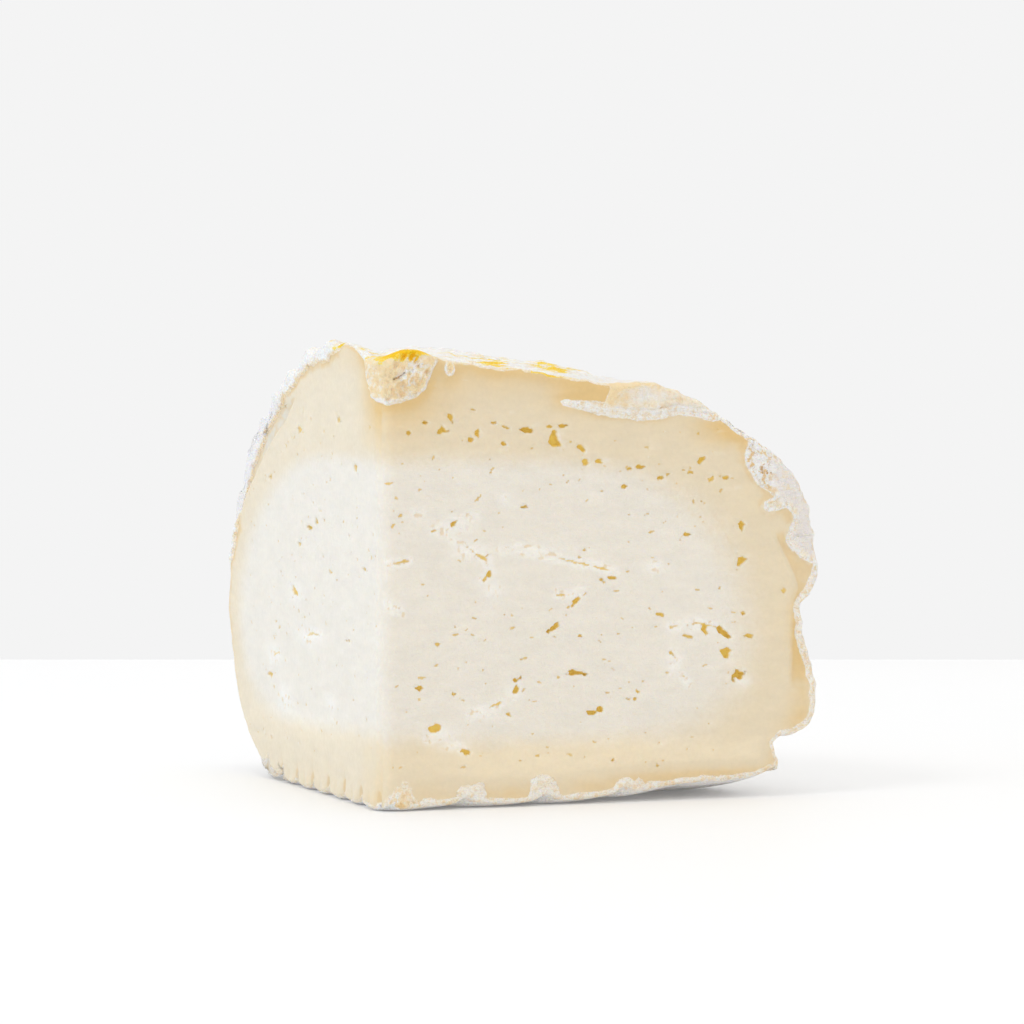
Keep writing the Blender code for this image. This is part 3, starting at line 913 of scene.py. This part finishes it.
def thinned(mesh, material):
    """The mesh as an object, with triangles merged where it is nearly flat."""
    for _ in CHARTS:
        mesh.materials.append(material)
    obj = add_object(mesh.name, mesh)
    triangles = sum(len(p.vertices) - 2 for p in mesh.polygons)
    if triangles > MOST_TRIANGLES:
        modifier = obj.modifiers.new("thin flat areas", "DECIMATE")
        modifier.ratio = MOST_TRIANGLES / triangles
        graph = bpy.context.evaluated_depsgraph_get()
        obj.data = bpy.data.meshes.new_from_object(obj.evaluated_get(graph), depsgraph=graph)
        obj.modifiers.clear()
    lay_flat(obj.data)
    obj.data.polygons.foreach_set("material_index", np.zeros(len(obj.data.polygons), np.int32))
    while len(obj.data.materials) > 1:
        obj.data.materials.pop()
    obj.data.shade_smooth()
    return obj


# -------------------------------------------------------------------------- materials


class Value:
    """A node's output. Plus, times, math and ramp lead it on into a further node."""

    def __init__(self, nodes, socket):
        self.nodes, self.socket = nodes, socket

    def math(self, operation, other=0.0):
        return self.nodes.new("ShaderNodeMath", {0: self, 1: other}, operation=operation)

    def __add__(self, other):
        return self.math("ADD", other)

    def __mul__(self, other):
        return self.math("MULTIPLY", other)

    def ramp(self, low, high, to_low=0.0, to_high=1.0):
        inputs = {"Value": self, "From Min": low, "From Max": high, "To Min": to_low, "To Max": to_high}
        return self.nodes.new("ShaderNodeMapRange", inputs, "Result", interpolation_type="SMOOTHSTEP")


class Nodes:
    """A short way to write a material's node tree. A colour may be given by its name.

    Only a textured material has noise, and so needs the points' places.
    """

    def __init__(self, material, colours=None, textured=True):
        material.use_nodes = True
        self.tree, self.colours = material.node_tree, colours
        self.shader = self.tree.nodes["Principled BSDF"]
        self.place = self.new("ShaderNodeTexCoord", {}, "Object") if textured else None

    def join(self, value, socket):
        if isinstance(value, Value):
            self.tree.links.new(value.socket, socket)
        else:
            socket.default_value = colour(getattr(self.colours, value)) if isinstance(value, str) else value

    def new(self, kind, inputs, output=0, **settings):
        node = self.tree.nodes.new(kind)
        for name, setting in settings.items():
            setattr(node, name, setting)
        for name, value in inputs.items():
            self.join(value, node.inputs[name])
        return Value(self, node.outputs[output])

    def field(self, name):
        return self.new("ShaderNodeAttribute", {}, "Fac", attribute_name=name)

    def mix(self, share, first, second):
        return self.new("ShaderNodeMix", {"Factor": share, "A": first, "B": second}, "Result", data_type="RGBA")

    def times(self, base, amount):
        """The colour base, each channel times the amount."""
        return self.new("ShaderNodeVectorMath", {0: base, "Scale": amount}, operation="SCALE")

    def noise(self, size, detail=3.0, stretch=(1.0, 1.0, 1.0), seed=0.0):
        """Noise from about -1 to 1 with bumps size metres across."""
        inputs = {"Vector": self.place, "Scale": stretch, "Location": (seed, -seed, seed / 2)}
        moved = self.new("ShaderNodeMapping", inputs, "Vector")
        noise = self.new("ShaderNodeTexNoise", {"Vector": moved, "Scale": 1 / size, "Detail": detail}, "Fac")
        return (noise + -0.5) * 2.6

    def finish(self, **values):
        """Gives the shader's sockets their values. An underscore stands for a space."""
        for name, value in values.items():
            self.join(value, self.shader.inputs[name.replace("_", " ")])


def colour(values):
    return (*values, 1.0)


def cheese_material(colours):
    """Chalky core, creamy band, amber edge, torn curd, holes and mould rind in one skin, with painted shade in
    recesses and painted bounce light along the foot.
    """
    material = bpy.data.materials.new("ripened_cheese")
    nodes = Nodes(material, colours)
    field, noise, mix = nodes.field, nodes.noise, nodes.mix
    crust, amber = field("crust"), field("amber")
    cloud, grain, fine = noise(0.009, 2.0), noise(0.0011, seed=3.1), noise(0.0004, 2.0, seed=7.7)
    creamy = (field("core") + grain * 0.6).ramp(2.8, -3.6)
    paste = mix(creamy, "core", "cream")
    golden = amber * (crust.ramp(-3.2, -0.2) * 0.4 + 0.6) + crust.ramp(-10.0, 0.0) * 0.2
    golden = (golden + cloud * 0.06).ramp(0.0, 1.25)
    paste = mix(golden, paste, "amber")
    paste = mix(field("torn") * 0.8, paste, "torn")
    # Painted shade: greyer paste behind the side face's step and at the foot.
    paste = mix(field("dust_and_shade") * 0.7, paste, "paste_painted_shade")
    dashes = noise(0.0011, 3.0, (0.22, 0.22, 1.0), 59.0)
    paste = mix(dashes.ramp(0.62, 0.95, 0.0, 0.5), paste, "torn")
    paste = mix(dashes.ramp(-0.7, -1.0, 0.0, 0.35), paste, "amber")
    # Painted shade: the paste turns amber where it lies below its neighbourhood.
    paste = mix(field("hollow").ramp(0.02, 0.14, 0.0, 0.45), paste, "amber")
    smear = noise(0.0022, 3.0, (0.35, 0.35, 1.0), 53.0)
    shade = (cloud * 0.6 + (smear * 1.2 + grain)).ramp(-2, 2, 0.945, 1.045)
    # Painted light: where amber is negative the paste grows up to 9% paler, standing for light bounced up from the
    # floor along the foot.
    paste = nodes.times(paste, shade * amber.ramp(-0.04, -0.3, 1.0, 1.09))
    paste = mix(field("hole").ramp(0.04, 0.7, 0.0, 0.92), paste, "hole")
    edge = crust + noise(0.0016, 2.0, seed=11.0) * 0.22
    rind_share = (edge + fine * 0.1).ramp(-0.12, 0.18)
    damp = (golden + creamy * 0.4).ramp(0.0, 1.2, 0.62, 0.4)
    height = (grain * 0.6 + fine * 0.4) * (creamy.ramp(0.0, 1.0, 0.00010, 0.00005) + rind_share * 0.00045)
    nodes.finish(
        Base_Color=mix(rind_share, paste, rind_colour(nodes, crust, grain, fine)),
        Roughness=damp + grain * 0.05 + rind_share * 0.32,
        Normal=nodes.new("ShaderNodeBump", {"Height": height, "Distance": 1.0, "Strength": 0.9}, "Normal"),
        Subsurface_Weight=0.3,
        Subsurface_Radius=(1.0, 0.75, 0.45),
        Subsurface_Scale=0.0018,
        IOR=1.4,
    )
    return material


def rind_colour(nodes, crust, grain, fine):
    """White bloom, greyer in patches, beige where it was cut, with ochre and brown mould. Crevices get tan painted
    shade, and the rolled corner and the lifted foot grey painted shade.
    """
    field, noise, mix = nodes.field, nodes.noise, nodes.mix
    patches, specks = noise(0.007, seed=21.0), noise(0.0020, 4.0, seed=29.0)
    pores = grain * 0.7 + fine * 0.7
    white = mix(patches.ramp(-0.3, 0.7), "rind", "rind_grey")
    white = mix((specks + patches * 0.4).ramp(0.1, 0.9, 0.0, 0.4), white, "rind_tan")
    white = mix(crust.ramp(3.0, 0.6, 0.25, 0.8) * pores.ramp(-0.05, 0.4), white, "rind_tan")
    # Painted shade: tan down in the rind's crevices.
    white = mix((field("hollow") + pores * 0.08).ramp(0.06, 0.5, 0.0, 0.5), white, "rind_crevice_shade")
    # Grey: painted shade on the rolled corner and the lifted foot, and a patch on the fold.
    white = mix(field("dust_and_shade") * (specks + grain).ramp(-0.7, 0.7, 1.0, 0.35), white, "rind_dust_and_shade")
    mottle = (specks + grain * 0.5).ramp(-0.9, 0.8, 0.45, 1.5)
    white = mix((field("tone") * mottle).math("MINIMUM", 1.0), white, "rind_cut")
    white = flecked(nodes, white)
    streaks = noise(0.0022, 4.0, (0.4, 1.0, 1.6), 43.0)
    mould = field("mould") + (streaks * 1.1 + fine * 0.2)
    white = mix(mould.ramp(0.3, 0.85, 0.0, 0.75), white, "mould_edge")
    bright = mix((mould + fine * 0.4).ramp(0.9, 1.5), "mould", "mould_deep")
    white = mix(mould.ramp(0.78, 0.92), white, bright)
    return mix((field("stain") + pores * 0.35).ramp(0.45, 0.95, 0.0, 0.85), white, "stain")


def flecked(nodes, base):
    """The base broken up where the rind crumbled: golden gaps, white bits, brown veins."""
    fleck = nodes.field("fleck")
    bits, broad = nodes.noise(0.0013, 4.0, seed=61.0), nodes.noise(0.0030, 2.0, seed=67.0)
    veins = nodes.noise(0.0026, 3.0, (1.0, 1.0, 1.4), 71.0).math("ABSOLUTE")
    base = nodes.mix(fleck * bits.ramp(-0.08, -0.35, 0.0, 0.85), base, "rind_gap")
    base = nodes.mix(fleck * broad.ramp(0.3, 0.6, 0.0, 0.6), base, "rind_dust_and_shade")
    base = nodes.mix(fleck * bits.ramp(0.1, 0.3), base, "rind")
    thin = veins.ramp(0.055, 0.0, 0.0, 0.6) * broad.ramp(0.2, -0.2)
    return nodes.mix(fleck.ramp(0.5, 1.0) * thin, base, "stain")


# ----------------------------------------------------------------------- properties


def number(name, description, default, kind=bpy.props.FloatProperty, **rest):
    return kind(name=name, description=description, default=default, **rest)


def tint(name, description, default):
    kind = bpy.props.FloatVectorProperty
    return number(name, description, default, kind, subtype="COLOR", size=3, min=0.0, max=1.0)


def length(name, description, default):
    return number(name, description, default, min=0.0, unit="LENGTH")


class CheeseSizes(bpy.types.PropertyGroup):
    apex_rounding: length("Edge rounding", "Radius of the soft edge between the cut faces", 0.0036)
    rim_rounding: length("Rim rounding", "How far the rind's cut edge stands back", 0.0009)
    rolled_corner: length("Rolled corner", "How far the rind of the shoulder rolled back", 0.0065)
    lumps: length("Lumps", "Height of the rind's broad lumps", 0.00085)
    creases: length("Creases", "Depth of the rind's creases", 0.0009)
    rack_marks: length("Rack marks", "Depth of the wires' marks in the base", 0.00115)
    hole_depth: number("Hole depth", "Depth of the holes against their usual depth", 0.85, min=0.0, max=2.0)
    small_holes: number(
        "Little holes", "How many little holes each cut face has", 210, bpy.props.IntProperty, min=0, max=1000
    )


class CheeseColours(bpy.types.PropertyGroup):
    core: tint("Core", "Chalky middle of the paste", (0.84, 0.79, 0.70))
    cream: tint("Cream", "Soft band round the core", (0.81, 0.70, 0.515))
    amber: tint("Amber", "Paste just under the rind", (0.78, 0.56, 0.26))
    torn: tint("Torn curd", "Pale curd that the knife tore", (0.92, 0.89, 0.83))
    hole: tint("Holes", "Inside of the little holes", (0.86, 0.60, 0.10))
    rind: tint("Rind", "White mould", (0.97, 0.955, 0.93))
    rind_grey: tint("Rind hollows", "Greyer mould between the wrinkles", (0.905, 0.885, 0.87))
    rind_tan: tint("Rind flecks", "Dry tan flecks on the mould", (0.86, 0.73, 0.54))
    # Lilac-grey: the rind's own grey where it crumbled, and painted shade on the rolled corner and the lifted foot.
    rind_dust_and_shade: tint("Dusty rind", "Smooth lilac-grey mould", (0.88, 0.845, 0.845))
    rind_gap: tint("Rind gaps", "Golden gaps where the rind crumbled", (0.86, 0.62, 0.32))
    # Grey painted shade on the paste, mostly in the recess behind the side face's step.
    paste_painted_shade: tint("Dry paste", "Greyer paste that drew back under the rind", (0.72, 0.69, 0.61))
    # Tan painted shade down in the rind's crevices.
    rind_crevice_shade: tint("Rind crevices", "Drier rind down in the cracks", (0.80, 0.655, 0.475))
    rind_cut: tint("Cut rind", "Rind seen in section at the rim", (0.95, 0.75, 0.47))
    mould: tint("Ochre mould", "Bright mould on the top", (0.99, 0.74, 0.16))
    mould_deep: tint("Deep mould", "Deeper parts of that mould", (1.0, 0.58, 0.008))
    mould_edge: tint("Mould edge", "Rind that the ochre mould has tinted", (0.93, 0.78, 0.50))
    stain: tint("Brown mould", "Dry brown spots and cracks", (0.52, 0.30, 0.12))


class StageSettings(bpy.types.PropertyGroup):
    turn: number("Camera turn", "How far the camera stands to the side face's side", radians(21), subtype="ANGLE")
    tilt: number("Camera tilt", "How far the camera looks down", radians(2.31), subtype="ANGLE")
    distance: length("Camera distance", "Level distance from the wedge's edge", 0.94)
    height: length("Camera height", "Height of the camera above the floor", 0.1045)
    aside: length("Camera offset", "How far right of the edge the camera points", 0.0291)
    lens: number("Lens", "Focal length on a 36 mm sensor", 150.0, subtype="DISTANCE_CAMERA")
    window: number("Window light", "Power of the soft light", 3.0)
    overhead: number("Overhead light", "Power of the light above", 1.2)
    cool: number("Cool light", "Power of the cool light at the side", 2.8)
    sky: tint("Surroundings", "Colour of the even light all round", (0.91, 0.905, 0.89))
    wall: tint("Wall", "Colour of the wall behind", (0.905, 0.905, 0.905))
    floor: tint("Floor", "Colour of the floor", (0.90, 0.90, 0.905))
    glow: number("Floor glow", "Light the floor itself gives", 0.07)


# ------------------------------------------------------------------------ operators


class CHEESE_OT_wedge(bpy.types.Operator):
    """Builds the wedge as one closed skin, with its rind and its two cut faces"""

    bl_idname = "cheese.wedge"
    bl_label = "Cheese Wedge"

    def execute(self, context):
        mesh = build_mesh("ripened_wedge", context.scene.cheese_sizes)
        obj = thinned(mesh, cheese_material(context.scene.cheese_colours))
        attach(obj, "root")
        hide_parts(NODE)
        return {"FINISHED"}


def add_object(name, data):
    obj = bpy.data.objects.new(name, data)
    bpy.context.scene.collection.objects.link(obj)
    return obj


def stage_sheet(name, near, far, across, textured):
    """A rectangle between two middles, as wide as across to either side, and its nodes."""
    mesh = bpy.data.meshes.new(name)
    corners = [near - across, near + across, far + across, far - across]
    mesh.from_pydata(corners, [], [(0, 1, 2, 3)])
    material = bpy.data.materials.new(name)
    mesh.materials.append(material)
    add_object(name, mesh)
    return Nodes(material, textured=textured)


def area_light(name, place, aim, size, power, tone=(1.0, 1.0, 1.0)):
    light = bpy.data.lights.new(name, "AREA")
    light.shape, light.size, light.energy, light.color = "DISK", size, power, tone
    obj = add_object(name, light)
    obj.location = place
    obj.rotation_euler = (aim - place).to_track_quat("-Z", "Y").to_euler()


class CHEESE_OT_stage(bpy.types.Operator):
    """Adds the pale floor, the far wall, the soft lights and the camera"""

    bl_idname = "cheese.stage"
    bl_label = "Stage"

    def execute(self, context):
        stage = context.scene.cheese_stage
        low = Vector(CAD_BOX[0])
        ahead = Vector((sin(stage.turn), cos(stage.turn), 0))
        right = Vector((cos(stage.turn), -sin(stage.turn), 0))
        up = Vector((0, 0, 1))
        edge = Vector((low.x, low.y, 0))
        self.add_camera(stage, edge - ahead * stage.distance + right * stage.aside)
        self.add_sheets(stage, edge, ahead, right, up)
        self.add_lights(stage, edge, ahead, right, up)
        return {"FINISHED"}

    def add_camera(self, stage, place):
        camera = bpy.data.cameras.new("camera")
        camera.lens, camera.sensor_width, camera.clip_end = stage.lens, 36, 50
        obj = add_object("camera", camera)
        obj.location = (place.x, place.y, stage.height)
        obj.rotation_euler = (pi / 2 - stage.tilt, 0, -stage.turn)
        bpy.context.scene.camera = obj

    def add_sheets(self, stage, edge, ahead, right, up):
        """The floor, and a far, evenly bright wall behind the floor's edge."""
        floor = stage_sheet("pale_floor", edge - ahead * 2.0, edge + ahead * 0.453, right * 2.5, True)
        shade = floor.noise(0.25, 2.0).ramp(-1, 1, 0.985, 1.0)
        base = floor.times(stage.floor[:], shade)
        floor.finish(Base_Color=base, Roughness=0.55, Emission_Color=(1, 1, 1, 1), Emission_Strength=stage.glow)
        middle = edge + ahead * 3.5
        wall = stage_sheet("pale_wall", middle - up * 0.6, middle + up * 2.4, right * 3.0, False)
        glow = colour(stage.wall)
        wall.finish(Base_Color=(0, 0, 0, 1), Specular_IOR_Level=0, Emission_Color=glow, Emission_Strength=1)

    def add_lights(self, stage, edge, ahead, right, up):
        world = bpy.data.worlds.new("even light")
        world.use_nodes = True
        world.node_tree.nodes["Background"].inputs["Color"].default_value = colour(stage.sky)
        bpy.context.scene.world = world
        aim = edge + Vector((0.04, 0.04, 0.05))
        area_light("window", edge + Vector((-0.85, -0.3, 1.25)), aim, 0.55, stage.window, (1.0, 0.99, 0.97))
        place = edge - right * 1.45 - ahead * 0.35 + up * 0.35
        area_light("cool sky", place, aim, 0.8, stage.cool, (0.15, 0.5, 1.0))
        area_light("overhead", edge + Vector((0.1, 0.1, 1.3)), aim, 0.6, stage.overhead)
        bpy.context.scene.view_settings.view_transform = "Standard"


class CHEESE_PT_panel(bpy.types.Panel):
    """Lists the wedge's and the stage's operators and settings"""

    bl_idname = "CHEESE_PT_panel"
    bl_label = "Cheese"
    bl_space_type = "VIEW_3D"
    bl_region_type = "UI"
    bl_category = "Cheese"

    def draw(self, context):
        for operator in OPERATORS:
            self.layout.operator(operator.bl_idname)
        for name in GROUPS:
            group, box = getattr(context.scene, name), self.layout.box()
            for setting in group.__annotations__:
                box.prop(group, setting)


OPERATORS = (CHEESE_OT_stage, CHEESE_OT_wedge)
GROUPS = {"cheese_sizes": CheeseSizes, "cheese_colours": CheeseColours, "cheese_stage": StageSettings}
CLASSES = (*GROUPS.values(), *OPERATORS, CHEESE_PT_panel)


def register():
    for cls in CLASSES:
        bpy.utils.register_class(cls)
    for name, group in GROUPS.items():
        setattr(bpy.types.Scene, name, bpy.props.PointerProperty(type=group))


def unregister():
    for name in GROUPS:
        delattr(bpy.types.Scene, name)
    for cls in reversed(CLASSES):
        bpy.utils.unregister_class(cls)


def main():
    register()
    bpy.ops.cheese.stage()
    bpy.ops.cheese.wedge()


if __name__ == "__main__":
    main()
